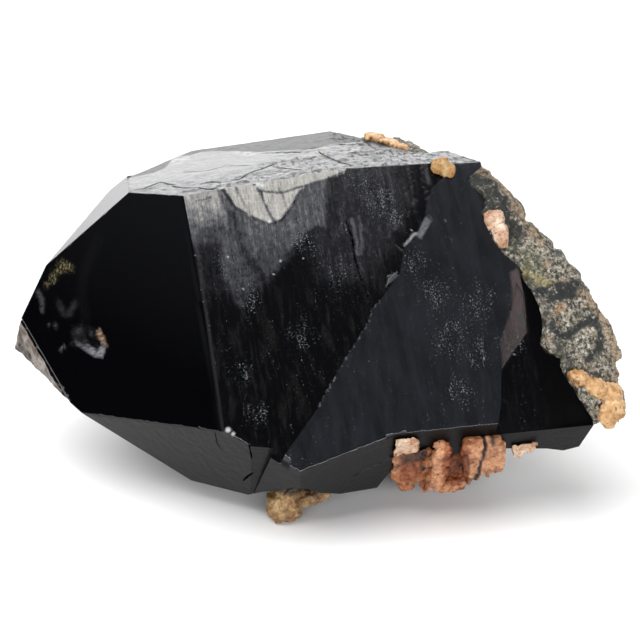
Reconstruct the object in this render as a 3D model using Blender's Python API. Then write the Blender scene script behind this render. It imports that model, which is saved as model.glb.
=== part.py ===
"""A morion quartz crystal, about 90 mm long, broken at one end from a slab of speckled granite.

Lengths are in millimetres until a mesh is made; the meshes are in metres with +Z up.
The crystal lies on a low terrace of its underside, with its tip to the left (-X).
Each crystal face is given by its direction and by its distance from one centre point.
"""

import math

import bmesh
import bpy
from mathutils import Matrix, Vector, noise

MM = 0.001
GAP = 0.3  # clear space left between neighbouring pieces
FAR = 90.0  # reaches beyond the whole specimen

# Driving dimensions of the crystal.
CENTRE_HEIGHT = 24.8  # centre point above the ground
TIP = Vector((-0.982, -0.160, -0.096)).normalized()  # long axis, towards the tip
FRONT = Vector((0.082, -0.833, 0.547))
FRONT = (FRONT - TIP * FRONT.dot(TIP)).normalized()  # across the axis, towards the front prism face
UP = FRONT.cross(-TIP).normalized()
STEP_RISE = 0.8  # the right part of the front face stands this much above the left part
BITE_DEPTH = 0.9  # shell-shaped bite at the right of the front face
BITE_SLOPE = 0.06  # the bite is shallower towards the top

# Faces as (degrees round the axis from FRONT towards UP, degrees from TIP, distance from the centre).
PRISM_TOP = (59.8, 88.1, 22.74)
PRISM_FRONT = (0.9, 87.3, 12.0)
PRISM_LOWER_FRONT = (-60.0, 90.0, 28.0)
PRISM_UNDER = (-123.1, 86.0, 20.94)
PRISM_BACK = (180.0, 90.0, 28.0)
PRISM_UPPER_BACK = (120.0, 95.4, 32.1)
TIP_TOP = (60.6, 51.3, 32.99)
TIP_FRONT = (-0.1, 51.3, 19.57)
TIP_LOWER_FRONT = (-59.4, 52.8, 25.85)
TIP_UNDER = (-119.5, 53.4, 29.43)
TIP_BACK = (180.0, 51.8, 39.5)
TIP_UPPER_BACK = (118.9, 51.9, 37.7)

# Planes broken or worn across the crystal, as (direction, distance from the centre).
TIP_CHIP = (Vector((-0.736, -0.669, 0.101)), 29.55)
TIP_SHOULDER = (Vector((-0.527, 0.365, 0.767)), 34.43)
TOP_RIGHT = (Vector((-0.045, 0.027, 0.999)), 23.27)
REAR_CORNER = (Vector((0.665, 0.554, 0.5)), 26.05)
REAR_CORNER_FROM = (14.6, 8.3, 23.7)  # the rear corner is broken off only behind this point
LOWER_LEFT_BREAK = (Vector((0.336, -0.850, -0.406)), 24.92)
LOWER_MID_BREAK = (Vector((0.109, -0.885, -0.453)), 23.62)
LOWER_RIGHT_BREAK = (Vector((0.037, -0.891, -0.452)), 20.7)
CORNER_CHIP = (Vector((-0.049, -0.882, -0.470)), 24.48)
CORNER_CHIP_WALL = (Vector((0.858, -0.261, -0.442)), 5.14)
GRANITE_FRONT = (Vector((0.373, -0.678, 0.633)), 21.86)

# Outlines in the plane of the front prism face: (mm to the right, mm up the face).
STEP_LINE = [
    (22.6, 21.5), (20.5, 15.6), (18.4, 14.1), (16.9, 10.8), (17.7, 9.5), (12.9, 5.9), (11.6, 2.4),
    (8.2, -1.0), (6.8, -2.1), (5.9, -3.9), (3.2, -7.0), (0.7, -9.8), (-3.0, -14.6), (-7.2, -18.9),
    (-8.9, -20.6), (-12.5, -25.5),
]
SEAM_LINE = [
    (28.0, 90.0), (26.2, 17.9), (26.3, 16.2), (23.6, 14.6), (24.2, 13.6), (25.8, 11.0), (24.8, 9.3),
    (25.7, 5.5), (26.7, 3.2), (28.8, 0.6), (29.9, -2.0), (30.9, -4.2), (31.6, -6.5), (31.5, -9.3),
    (30.8, -11.7), (31.3, -13.2), (33.3, -14.3), (33.4, -16.4), (36.6, -23.8), (44.0, -90.0),
]
GRANITE_OUTLINE = [
    (17.0, 23.0), (23.4, 19.0), (27.6, 16.4), (31.0, 13.4), (33.3, 9.6), (34.3, 6.2), (36.2, 3.4),
    (38.8, 0.8), (38.8, -0.9), (40.9, -3.9), (42.5, -6.9), (44.2, -10.9), (45.4, -14.7), (44.9, -17.2),
    (43.7, -19.4), (43.6, -21.4), (42.2, -24.6), (37.0, -26.4), (30.0, -46.0), (20.0, -46.0), (14.0, 23.0),
]
BITE_OUTLINE = [
    (20.6, -24.0), (22.5, -18.6), (23.1, -15.4), (23.6, -13.6), (28.2, -8.9), (28.7, -3.6), (28.7, -0.2),
    (36.0, -3.0), (42.0, -24.0), (34.0, -27.0),
]
WINDOW_OUTLINE = [(23.5, -13.9), (28.9, -9.3), (28.2, -6.8), (28.7, -3.6), (28.0, -1.6), (26.2, -5.4)]
# Lower rim of the crystal as (mm along X, mm up at UNDER_DEPTH in Y).
# The underside falls back from it along UNDER_RUN.
UNDER_OUTLINE = [
    (-60.0, -22.5), (-17.1, -20.0), (-11.8, -20.2), (-7.8, -18.7), (-3.6, -17.5), (-1.8, -17.7), (0.0, -18.5),
    (2.9, -19.0), (8.3, -18.4), (9.9, -16.0), (11.5, -14.3), (17.2, -13.0), (26.0, -12.0), (33.0, -12.2),
    (35.4, -12.6), (38.4, -11.7), (41.3, -10.1), (60.0, 4.0),
]
UNDER_DEPTH = -20.0
UNDER_RUN = Vector((0.0, 0.944, -0.331))
GRANITE_DROP = 1.7  # the granite stays this much below the top face
GRANITE_GRAIN = 1.62  # size of the smallest lumps on the granite
SEAM_RUN = Vector((-0.529, 0.841, -0.114)).normalized()  # the seam with the granite runs back this way

BLACK = (0.012, 0.012, 0.014, 1.0)
GREY_ROCK = (0.27, 0.24, 0.19, 1.0)
ORANGE = (0.62, 0.30, 0.14, 1.0)
TAN = (0.55, 0.38, 0.22, 1.0)
PALE_PINK = (0.70, 0.45, 0.34, 1.0)


def centre():
    return Vector((0.0, 0.0, CENTRE_HEIGHT))


def face(entry, extra=0.0):
    """(direction, distance) of a crystal face moved outwards by extra."""
    around, from_tip, distance = entry
    around = math.radians(around)
    from_tip = math.radians(from_tip)
    across = FRONT * math.cos(around) + UP * math.sin(around)
    return across * math.sin(from_tip) + TIP * math.cos(from_tip), distance + extra


def moved(plane, extra):
    direction, distance = plane
    return direction.normalized(), distance + extra


def through(point, direction, extra=0.0):
    """The plane with this direction through a point, which is given from the centre."""
    direction = Vector(direction).normalized()
    return direction, direction.dot(Vector(point)) + extra


def beyond(plane):
    """The same plane with its other side kept."""
    direction, distance = plane
    return -direction, -distance


def ground(extra=0.0):
    return Vector((0.0, 0.0, -1.0)), CENTRE_HEIGHT + extra


FACE_NORMAL, FACE_DISTANCE = face(PRISM_FRONT)
FACE_RIGHT = (-TIP - FACE_NORMAL * (-TIP).dot(FACE_NORMAL)).normalized()
FACE_UP = FACE_NORMAL.cross(FACE_RIGHT)


def on_front(right, up, height=0.0):
    """A point of the front prism face, from the centre point."""
    return FACE_NORMAL * (FACE_DISTANCE + height) + FACE_RIGHT * right + FACE_UP * up


BREAK_NORMAL = LOWER_MID_BREAK[0].normalized()
BREAK_RIGHT = (-TIP - BREAK_NORMAL * (-TIP).dot(BREAK_NORMAL)).normalized()
BREAK_UP = BREAK_NORMAL.cross(BREAK_RIGHT)


def on_break(right, up, height=0.0):
    """A point of the broken face under the front, from the centre point."""
    return BREAK_NORMAL * (LOWER_MID_BREAK[1] + height) + BREAK_RIGHT * right + BREAK_UP * up


def clear_scene():
    for obj in list(bpy.data.objects):
        bpy.data.objects.remove(obj, do_unlink=True)


def material(name, colour, roughness):
    made = bpy.data.materials.new(name)
    made.use_nodes = True
    shader = made.node_tree.nodes["Principled BSDF"]
    shader.inputs["Base Color"].default_value = colour
    shader.inputs["Roughness"].default_value = roughness
    shader.inputs["Metallic"].default_value = 0.0
    made.diffuse_color = colour
    return made


def to_object(name, bm, cutter=False):
    """An object from a mesh that is in millimetres from the centre point."""
    bmesh.ops.transform(bm, matrix=Matrix.Translation(centre()), verts=bm.verts)
    bmesh.ops.scale(bm, vec=(MM, MM, MM), verts=bm.verts)
    bmesh.ops.recalc_face_normals(bm, faces=bm.faces)
    mesh = bpy.data.meshes.new(name)
    bm.to_mesh(mesh)
    bm.free()
    obj = bpy.data.objects.new(name, mesh)
    bpy.context.scene.collection.objects.link(obj)
    if cutter:
        obj.hide_render = True
        obj.display_type = "WIRE"
    return obj


def slice_off(bm, plane):
    """Removes what lies beyond a plane and closes the cut."""
    direction, distance = plane
    cut = bmesh.ops.bisect_plane(
        bm,
        geom=bm.verts[:] + bm.edges[:] + bm.faces[:],
        dist=1e-5,
        plane_co=direction * distance,
        plane_no=direction,
        clear_outer=True,
    )
    rim = [item for item in cut["geom_cut"] if isinstance(item, bmesh.types.BMEdge)]
    if rim:
        bmesh.ops.edgeloop_fill(bm, edges=rim)


def convex(planes):
    """The solid behind all these planes."""
    bm = bmesh.new()
    bmesh.ops.create_cube(bm, size=2.0 * FAR)
    for plane in planes:
        slice_off(bm, plane)
    return bm


def prism(points, run, start, end):
    """The outline through these points, carried along a direction from start to end."""
    bm = bmesh.new()
    near = [bm.verts.new(point + run * start) for point in points]
    far = [bm.verts.new(point + run * end) for point in points]
    bm.faces.new(near)
    bm.faces.new(far[::-1])
    count = len(points)
    for i in range(count):
        j = (i + 1) % count
        bm.faces.new((near[i], far[i], far[j], near[j]))
    bmesh.ops.recalc_face_normals(bm, faces=bm.faces)
    bmesh.ops.triangulate(bm, faces=[f for f in bm.faces if len(f.verts) > 4])
    return bm


def set_aside(line, distance):
    """A line of (right, up) points, which runs down the face, moved to its right by a distance."""
    moved_line = []
    for i, point in enumerate(line):
        here = Vector(point)
        before = here - Vector(line[i - 1]) if i else Vector(line[1]) - here
        after = Vector(line[i + 1]) - here if i + 1 < len(line) else before
        along = before.normalized() + after.normalized()
        side = Vector((-along.y, along.x)).normalized()
        across = Vector((-before.y, before.x)).normalized()
        moved_line.append(here + side * distance / max(side.dot(across), 0.4))
    return moved_line


def apply_modifiers(obj):
    graph = bpy.context.evaluated_depsgraph_get()
    made = bpy.data.meshes.new_from_object(obj.evaluated_get(graph))
    obj.modifiers.clear()
    obj.data = made


def combine(obj, others, operation):
    """Joins or cuts with each of the others in turn, and removes them."""
    for other in others:
        modifier = obj.modifiers.new(operation.title(), "BOOLEAN")
        modifier.solver = "EXACT"
        modifier.operation = operation
        modifier.object = other
        apply_modifiers(obj)


def remove(objects):
    for obj in objects:
        bpy.data.objects.remove(obj, do_unlink=True)


def crystal_shape(name, extra=0.0):
    """The crystal, or the room it takes with some clear space round it."""
    bm = convex([
        face(PRISM_TOP, extra),
        face(PRISM_FRONT, extra + STEP_RISE),
        face(PRISM_LOWER_FRONT, extra),
        face(PRISM_BACK, extra),
        face(PRISM_UPPER_BACK, extra),
        face(TIP_TOP, extra),
        face(TIP_FRONT, extra),
        face(TIP_LOWER_FRONT, extra),
        face(TIP_UNDER, extra),
        face(TIP_BACK, extra),
        face(TIP_UPPER_BACK, extra),
        moved(TIP_CHIP, extra),
        moved(TIP_SHOULDER, extra),
        moved(TOP_RIGHT, extra),
        ground(extra),
    ])
    crystal = to_object(name, bm)
    cutters = []

    def cut_with(bm):
        cutters.append(to_object("cutter", bm, cutter=True))

    step = [on_front(right, up) for right, up in set_aside(STEP_LINE, -extra)]
    step += [on_front(-70.0, -30.0), on_front(-70.0, 30.0)]
    cut_with(prism(step, FACE_NORMAL, extra, 30.0))
    if not extra:
        bite = [on_front(right, up, BITE_SLOPE * (up + 13.0) - BITE_DEPTH) for right, up in BITE_OUTLINE]
        cut_with(prism(bite, FACE_NORMAL, 0.0, 30.0))
        window = [on_front(right, up, 0.45 if up > -9 else -0.35) for right, up in WINDOW_OUTLINE]
        cut_with(prism(window, FACE_NORMAL, 0.0, 30.0))
    cut_with(convex([
        beyond(moved(LOWER_LEFT_BREAK, extra)),
        beyond(moved(LOWER_MID_BREAK, extra)),
        beyond(moved(LOWER_RIGHT_BREAK, extra)),
    ]))
    under_front = through((0.0, 4.0, 0.0), (0.0, 1.0, 0.0), -extra)
    cut_with(convex([beyond(face(PRISM_UNDER, extra)), under_front]))
    under = [Vector((x, UNDER_DEPTH, z)) for x, z in set_aside(UNDER_OUTLINE, -1.1 * extra)]
    under += [Vector((60.0, UNDER_DEPTH, -60.0)), Vector((-60.0, UNDER_DEPTH, -60.0))]
    cut_with(prism(under, UNDER_RUN, -30.0, 60.0))
    cut_with(convex([beyond(moved(CORNER_CHIP, extra)), moved(CORNER_CHIP_WALL, -extra)]))
    cut_with(convex([beyond(moved(REAR_CORNER, extra)), through(REAR_CORNER_FROM, (0.1, -1.0, 0.0), -extra)]))
    seam = [on_front(right, up, STEP_RISE) for right, up in set_aside(SEAM_LINE, 1.4 * extra)]
    seam += [on_front(260.0, -90.0, STEP_RISE), on_front(260.0, 90.0, STEP_RISE)]
    cut_with(prism(seam, SEAM_RUN, -30.0, 100.0))
    combine(crystal, cutters, "DIFFERENCE")
    remove(cutters)
    return crystal


def break_up(bm, longest):
    """Halves edges until none is longer than this."""
    bmesh.ops.triangulate(bm, faces=bm.faces)
    for _ in range(8):
        long_edges = [edge for edge in bm.edges if edge.calc_length() > longest]
        if not long_edges:
            return
        bmesh.ops.subdivide_edges(bm, edges=long_edges, cuts=1)
        bmesh.ops.triangulate(bm, faces=[f for f in bm.faces if len(f.verts) > 3])


def roughen(bm, amount, size, seed, extra=0.0):
    """Pushes each point in or out by lumps of this size, and outwards by extra."""
    bm.normal_update()
    offset = Vector((seed * 13.7, seed * 5.1, seed * 9.3))
    moves = []
    for vert in bm.verts:
        lump = noise.noise(vert.co / size + offset) + 0.5 * noise.noise(vert.co * 2.3 / size + offset)
        moves.append(vert.normal * (lump * amount + extra))
    for vert, move in zip(bm.verts, moves):
        vert.co += move


def blob(at, radii, tilt, amount, seed, extra=0.0, detail=3):
    """A rounded lump with an uneven surface."""
    bm = bmesh.new()
    bmesh.ops.create_icosphere(bm, subdivisions=detail, radius=1.0)
    turn = Matrix.Rotation(math.radians(tilt), 3, FRONT)
    for vert in bm.verts:
        squared = Vector([math.copysign(abs(x) ** 0.8, x) for x in vert.co])
        vert.co = at + turn @ Vector([x * (r + extra) for x, r in zip(squared, radii)])
    roughen(bm, amount, min(radii) * 0.9, seed)
    return bm


def slab(points, run, thickness, longest, amount, size, seed, extra=0.0):
    """A flat piece with the outline of these points and an uneven surface."""
    middle = sum(points, Vector()) / len(points)
    wider = [point + (point - middle).normalized() * extra for point in points]
    bm = prism(wider, run, -thickness - extra, extra)
    break_up(bm, longest)
    roughen(bm, amount, size, seed)
    return bm


def voxels(obj, size):
    modifier = obj.modifiers.new("Remesh", "REMESH")
    modifier.mode = "VOXEL"
    modifier.voxel_size = size * MM
    apply_modifiers(obj)


def granite_shape(name, room, pockets):
    """Slab of granite on the broken end, cut to clear the crystal and the feldspar set in it."""
    outline = [on_front(right, up) for right, up in GRANITE_OUTLINE]
    bm = prism(outline, SEAM_RUN, -25.0, 62.0)
    for plane in (
        moved(GRANITE_FRONT, -0.3),
        moved(TOP_RIGHT, -GRANITE_DROP),
        face(PRISM_UPPER_BACK, 0.6),
        face(PRISM_BACK, 3.2),
        moved(LOWER_RIGHT_BREAK, -0.2),
    ):
        slice_off(bm, plane)
    granite = to_object(name, bm)
    under = to_object("cutter", convex([
        beyond(through((33.0, -16.6, -13.2), (-0.05, -0.33, -0.94))),
        through((0.0, 12.0, 0.0), (0.0, 1.0, 0.0)),
    ]), cutter=True)
    combine(granite, [under], "DIFFERENCE")
    remove([under])
    voxels(granite, 1.2)
    bm = bmesh.new()
    bm.from_mesh(granite.data)
    bmesh.ops.scale(bm, vec=(1 / MM, 1 / MM, 1 / MM), verts=bm.verts)
    bmesh.ops.transform(bm, matrix=Matrix.Translation(-centre()), verts=bm.verts)
    roughen(bm, 1.1, 5.5, 3)
    roughen(bm, 0.45, 1.9, 8)
    slice_off_ground(bm)
    bpy.data.objects.remove(granite, do_unlink=True)
    granite = to_object(name, bm)
    voxels(granite, GRANITE_GRAIN)
    combine(granite, [room] + pockets, "DIFFERENCE")
    keep_largest(granite)
    return granite


def slice_off_ground(bm):
    """Levels what is below the ground without opening the mesh."""
    for vert in bm.verts:
        vert.co.z = max(vert.co.z, -CENTRE_HEIGHT)


def keep_largest(obj):
    """Keeps the largest connected body of a mesh that a cut has parted."""
    bm = bmesh.new()
    bm.from_mesh(obj.data)
    bm.verts.ensure_lookup_table()
    left = set(bm.verts)
    bodies = []
    while left:
        body = set()
        todo = [left.pop()]
        while todo:
            vert = todo.pop()
            body.add(vert)
            for edge in vert.link_edges:
                other = edge.other_vert(vert)
                if other in left:
                    left.discard(other)
                    todo.append(other)
        bodies.append(body)
    largest = max(bodies, key=len)
    bmesh.ops.delete(bm, geom=[v for v in bm.verts if v not in largest], context="VERTS")
    bm.to_mesh(obj.data)
    bm.free()


def cluster_parts(extra):
    """Blades and blocks of feldspar under the front edge, as overlapping lumps."""
    blades = [
        ([(7.0, -6.6), (7.4, -3.6), (12.4, -2.2), (14.4, -3.0), (14.4, -11.2), (11.0, -9.8), (10.6, -11.3),
          (9.2, -11.1)], 0.5, 6.0, 1),
        ([(13.6, -5.0), (13.9, -1.2), (15.6, -1.4), (15.2, -7.4), (14.6, -10.2), (12.2, -10.4), (13.3, -7.6)],
         2.0, 7.0, 2),
        ([(14.0, -2.2), (18.6, -1.2), (19.0, -9.6), (18.1, -11.4), (16.8, -12.2), (14.2, -10.6)], -0.4, 6.0, 3),
        ([(13.4, -9.8), (16.6, -10.6), (18.8, -9.4), (18.2, -11.9), (16.6, -12.6), (14.2, -11.4)], 0.9, 7.0, 6),
        ([(18.1, -0.9), (20.3, -0.6), (20.9, -5.4), (20.0, -8.6), (18.9, -9.4), (18.4, -5.2)], 1.9, 6.0, 4),
        ([(20.6, -1.2), (22.9, -0.9), (24.1, -4.8), (23.4, -7.6), (21.6, -8.6), (20.4, -6.4)], 1.6, 6.0, 5),
    ]
    made = []
    for outline, front, thickness, seed in blades:
        points = [on_break(right, up, front) for right, up in outline]
        made.append(slab(points, BREAK_NORMAL, thickness, 2.2, 0.35, 1.6, seed, extra))
    return made


def feldspar(name, meshes):
    """One piece of feldspar from overlapping lumps."""
    for bm in meshes:
        slice_off_ground(bm)
    objects = [to_object(name if i == 0 else "lump", bm) for i, bm in enumerate(meshes)]
    combine(objects[0], objects[1:], "UNION")
    remove(objects[1:])
    return objects[0]


def knob(extra=0.0):
    return [
        blob(Vector((-5.3, -16.4, -22.4)), (2.5, 2.5, 2.4), 10, 0.35, 11, extra),
        blob(Vector((-4.3, -16.6, -19.9)), (2.1, 1.7, 1.6), 20, 0.25, 13, extra, 2),
        blob(Vector((-1.0, -17.0, -20.6)), (2.7, 1.5, 1.1), 22, 0.2, 12, extra, 2),
    ]


def crust(extra=0.0):
    spots = [
        (34.4, -16.4, -0.9, 1.6, 1.0, 8), (36.6, -18.3, -1.3, 1.9, 1.2, 21), (38.9, -19.4, -2.2, 1.7, 1.4, 22),
        (38.6, -21.7, -2.0, 1.8, 1.7, 23), (37.5, -23.0, -1.3, 1.2, 1.0, 24),
    ]
    return [
        blob(on_front(right, up, height), (wide, 1.6, tall), -25, 0.3, seed, extra, 2)
        for right, up, height, wide, tall, seed in spots
    ]


def grain(extra=0.0):
    return [
        blob(on_front(26.6, 8.1, 0.3), (1.5, 1.1, 1.4), 20, 0.25, 31, extra, 2),
        blob(on_front(27.2, 5.6, 0.2), (1.1, 1.0, 1.9), 12, 0.25, 32, extra, 2),
    ]


def top_patch(extra=0.0):
    return [
        blob(Vector((8.2, 17.0, 22.8)), (1.7, 2.2, 0.9), 0, 0.2, 41, extra, 2),
        blob(Vector((10.2, 14.0, 22.9)), (1.8, 2.4, 0.8), 0, 0.2, 42, extra, 2),
        blob(Vector((12.0, 10.8, 22.9)), (1.4, 2.4, 0.8), 0, 0.2, 44, extra, 2),
        blob(Vector((13.4, 8.0, 23.2)), (1.2, 2.0, 0.7), 0, 0.15, 43, extra, 2),
    ]


def edge_lump(extra=0.0):
    return [
        blob(on_front(20.4, 17.2, 1.0), (1.5, 1.2, 1.1), 10, 0.25, 51, extra, 2),
        blob(on_front(21.2, 16.3, 1.1), (1.1, 1.0, 1.2), 10, 0.2, 52, extra, 2),
    ]


def upper_chip(extra=0.0):
    points = [
        on_break(right, up, 0.9)
        for right, up in [(7.9, -2.9), (8.3, 0.5), (10.4, 1.0), (11.7, -0.3), (11.4, -2.0), (9.2, -2.3)]
    ]
    return [slab(points, BREAK_NORMAL, 2.0, 1.3, 0.2, 1.1, 61, extra)]


def right_chip(extra=0.0):
    points = [
        on_break(right, up, 0.6)
        for right, up in [(25.2, -3.6), (28.8, -3.2), (28.4, -4.8), (26.9, -5.2), (26.4, -6.6), (25.3, -5.8)]
    ]
    return [slab(points, BREAK_NORMAL, 2.4, 1.3, 0.15, 1.1, 71, extra)]


def finish(obj, paint, smooth=False):
    bm = bmesh.new()
    bm.from_mesh(obj.data)
    bmesh.ops.dissolve_degenerate(bm, dist=1e-7, edges=bm.edges)
    bmesh.ops.triangulate(bm, faces=bm.faces)
    for item in bm.faces:
        item.smooth = smooth
    bm.to_mesh(obj.data)
    bm.free()
    obj.data.materials.clear()
    obj.data.materials.append(paint)


def centre_on_origin(objects):
    """Moves the whole specimen so that the middle of its base is the origin."""
    corners = [vert.co for obj in objects for vert in obj.data.vertices]
    low = [min(co[axis] for co in corners) for axis in range(3)]
    high = [max(co[axis] for co in corners) for axis in range(3)]
    move = Vector((-(low[0] + high[0]) / 2, -(low[1] + high[1]) / 2, -low[2]))
    for obj in objects:
        obj.data.transform(Matrix.Translation(move))


def main():
    clear_scene()
    crystal = crystal_shape("morion_crystal")
    room = crystal_shape("crystal_room", GAP)
    room.hide_render = True
    room.display_type = "WIRE"

    pieces = {
        "feldspar_knob": (knob, PALE_PINK),
        "feldspar_crust": (crust, ORANGE),
        "feldspar_grain": (grain, PALE_PINK),
        "feldspar_top_patch": (top_patch, PALE_PINK),
        "feldspar_edge_lump": (edge_lump, TAN),
        "feldspar_upper_chip": (upper_chip, TAN),
        "feldspar_right_chip": (right_chip, PALE_PINK),
        "feldspar_cluster": (cluster_parts, ORANGE),
    }
    in_granite = ("feldspar_crust", "feldspar_grain", "feldspar_top_patch", "feldspar_edge_lump")
    pockets = [feldspar("pocket", pieces[name][0](GAP)) for name in in_granite]
    granite = granite_shape("granite_matrix", room, pockets)
    remove(pockets)

    chip_room = feldspar("pocket", upper_chip(GAP))
    made = []
    for name, (shape, colour) in pieces.items():
        piece = feldspar(name, shape(0.0))
        combine(piece, [room], "DIFFERENCE")
        if name == "feldspar_cluster":
            combine(piece, [chip_room], "DIFFERENCE")
        keep_largest(piece)
        finish(piece, material(name, colour, 0.75))
        made.append(piece)
    remove([chip_room, room])
    finish(crystal, material("morion_crystal", BLACK, 0.08))
    finish(granite, material("granite_matrix", GREY_ROCK, 0.9))
    centre_on_origin([crystal, granite] + made)


main()
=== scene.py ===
import math

import bmesh
import bpy
import numpy as np
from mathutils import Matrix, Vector


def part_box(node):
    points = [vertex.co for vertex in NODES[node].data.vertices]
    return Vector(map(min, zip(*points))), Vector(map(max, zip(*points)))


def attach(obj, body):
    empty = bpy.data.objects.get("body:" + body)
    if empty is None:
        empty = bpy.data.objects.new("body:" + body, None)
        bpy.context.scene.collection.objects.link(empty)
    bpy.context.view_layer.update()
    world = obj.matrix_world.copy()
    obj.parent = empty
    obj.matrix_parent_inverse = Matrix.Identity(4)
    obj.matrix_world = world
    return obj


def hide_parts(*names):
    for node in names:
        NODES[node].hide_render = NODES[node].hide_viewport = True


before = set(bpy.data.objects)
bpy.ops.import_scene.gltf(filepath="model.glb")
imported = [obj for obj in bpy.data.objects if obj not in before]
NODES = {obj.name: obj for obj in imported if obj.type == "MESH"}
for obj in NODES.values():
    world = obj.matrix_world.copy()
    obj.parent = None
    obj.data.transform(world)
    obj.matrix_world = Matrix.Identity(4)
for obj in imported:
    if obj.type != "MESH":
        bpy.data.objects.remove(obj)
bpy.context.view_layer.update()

MM = 0.001
FAR = 1e9

# The crystal's faces are placed from one centre point, as in the CAD model.
CENTRE_FROM_LEFT = 0.0475749
CENTRE_FROM_BACK = 0.0354043
CENTRE_HEIGHT = 0.0248
crystal_low, crystal_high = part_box("morion_crystal")
CENTRE = Vector((crystal_low[0] + CENTRE_FROM_LEFT, crystal_high[1] - CENTRE_FROM_BACK, CENTRE_HEIGHT))

# Directions of the crystal: along its axis to the point, out of its front face, and up across that face.
TIP = Vector((-0.982, -0.160, -0.096)).normalized()
FRONT = Vector((0.082, -0.833, 0.547))
FRONT = (FRONT - TIP * FRONT.dot(TIP)).normalized()
UP = FRONT.cross(-TIP).normalized()


class Plane:
    """A plane with its own right, up and out directions. Lengths along them are in millimetres."""

    def __init__(self, out, distance):
        self.out = Vector(out).normalized()
        self.right = (-TIP - self.out * (-TIP).dot(self.out)).normalized()
        self.up = self.out.cross(self.right)
        self.origin = CENTRE + self.out * distance * MM

    def at(self, right, up):
        return self.origin + (self.right * right + self.up * up) * MM

    def local(self, points):
        """Right, up and out distances of an array of points."""
        offset = (points - np.array(self.origin)) / MM
        return [offset @ np.array(direction) for direction in (self.right, self.up, self.out)]


def crystal_face(around, from_tip, distance):
    """A face given by its turn round the crystal's axis and its angle from the point, in degrees."""
    around = math.radians(around)
    from_tip = math.radians(from_tip)
    across = FRONT * math.cos(around) + UP * math.sin(around)
    return Plane(across * math.sin(from_tip) + TIP * math.cos(from_tip), distance)


PRISM_TOP = crystal_face(59.8, 88.1, 22.74)
TOP_RIGHT = Plane((-0.045, 0.027, 0.999), 23.27)
PRISM_FRONT = crystal_face(0.9, 87.3, 12.0)
TIP_TOP = crystal_face(60.6, 51.3, 32.99)
TIP_FRONT = crystal_face(-0.1, 51.3, 19.57)
TIP_LOWER_FRONT = crystal_face(-59.4, 52.8, 25.85)
TIP_CHIP = Plane((-0.736, -0.669, 0.101), 29.55)
LEFT_BREAK = Plane((0.336, -0.850, -0.406), 24.92)
MIDDLE_BREAK = Plane((0.109, -0.885, -0.453), 23.62)
GRANITE_FRONT = Plane((0.373, -0.678, 0.633), 21.5)
MAIN_FACES = (
    PRISM_TOP, TOP_RIGHT, PRISM_FRONT, TIP_TOP, TIP_FRONT, TIP_LOWER_FRONT, LEFT_BREAK, MIDDLE_BREAK,
    TIP_CHIP,
)
# How close the directions of a face and a plane are when the face lies in the plane.
SAME_DIRECTION = 0.9995


# Lines and patches drawn on a plane. Their points are (right, up) in millimetres.


def line_distance(x, y, points):
    """Distance of each (x, y) from a line through some points."""
    best = np.full(x.shape, FAR)
    for (ax, ay), (bx, by) in zip(points, points[1:]):
        dx = bx - ax
        dy = by - ay
        t = np.clip(((x - ax) * dx + (y - ay) * dy) / max(dx * dx + dy * dy, 1e-9), 0.0, 1.0)
        best = np.minimum(best, np.hypot(x - ax - t * dx, y - ay - t * dy))
    return best


def inside(x, y, points):
    """Whether each (x, y) is inside an outline."""
    result = np.zeros(x.shape, bool)
    for (ax, ay), (bx, by) in zip(points, points[1:] + points[:1]):
        if ay != by:
            result ^= ((ay > y) != (by > y)) & (x < (bx - ax) * (y - ay) / (by - ay) + ax)
    return result


def step(value, start, end):
    """0 at start, 1 at end, smooth between them."""
    t = np.clip((value - start) / (end - start), 0.0, 1.0)
    return t * t * (3.0 - 2.0 * t)


def area(x, y, points, soft):
    """1 inside an outline, fading to 0 over a soft rim."""
    signed = line_distance(x, y, points + points[:1]) * np.where(inside(x, y, points), 1.0, -1.0)
    return step(signed, -soft / 2, soft / 2)


def stroke(x, y, points, width, soft):
    """1 on a line of some width, fading to 0 over its soft sides."""
    return 1.0 - step(line_distance(x, y, points), width / 2, width / 2 + soft)


def spots(x, y, places):
    """Soft round patches: (right, up, reach, strength) each."""
    total = np.zeros(x.shape)
    for right, up, reach, strength in places:
        distance = np.hypot(x - right, y - up)
        total = np.maximum(total, strength * (1.0 - step(distance, 0.2 * reach, reach)))
    return total


def strongest(*masks):
    return np.maximum.reduce(masks)


def strokes(x, y, wobble, lines):
    """The strongest of some lines: (strength, sway to the right, sway up, width, soft, points) each."""
    return strongest(*[
        strength * stroke(x + sway_right * wobble, y + sway_up * wobble, points, width, soft)
        for strength, sway_right, sway_up, width, soft, points in lines
    ])


def chance(x, y, z):
    """An even spread of numbers from -1 to 1, one for each lattice point."""
    mixed = (x * 73856093) ^ (y * 19349663) ^ (z * 83492791)
    mixed = (mixed ^ (mixed >> 13)) * 1274126177 & 0xFFFFFFFF
    mixed = (mixed ^ (mixed >> 16)) * 668265263 & 0xFFFFFFFF
    return (mixed ^ (mixed >> 15)) / 2147483648.0 - 1.0


def lumps(points, size, seed):
    """Smooth noise, mostly from -1 to 1, at each row of an (n, 3) array in millimetres."""
    scaled = points / size + np.array((seed * 7.31, seed * 3.17, seed * 5.71)) + 1000.0
    cell = np.floor(scaled).astype(np.int64)
    part = scaled - cell
    blend = part * part * (3.0 - 2.0 * part)
    total = np.zeros(len(points))
    for corner in range(8):
        step_to = np.array((corner & 1, corner >> 1 & 1, corner >> 2))
        x, y, z = (cell + step_to).T
        weight = np.prod(np.where(step_to, blend, 1.0 - blend), axis=1)
        away = part - step_to
        lean = sum(chance(x, y, z + 7919 * axis) * away[:, axis] for axis in range(3))
        total += weight * lean
    return total * 1.7


# Materials. Noise scales are per metre, and bump distances are in metres.


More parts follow.
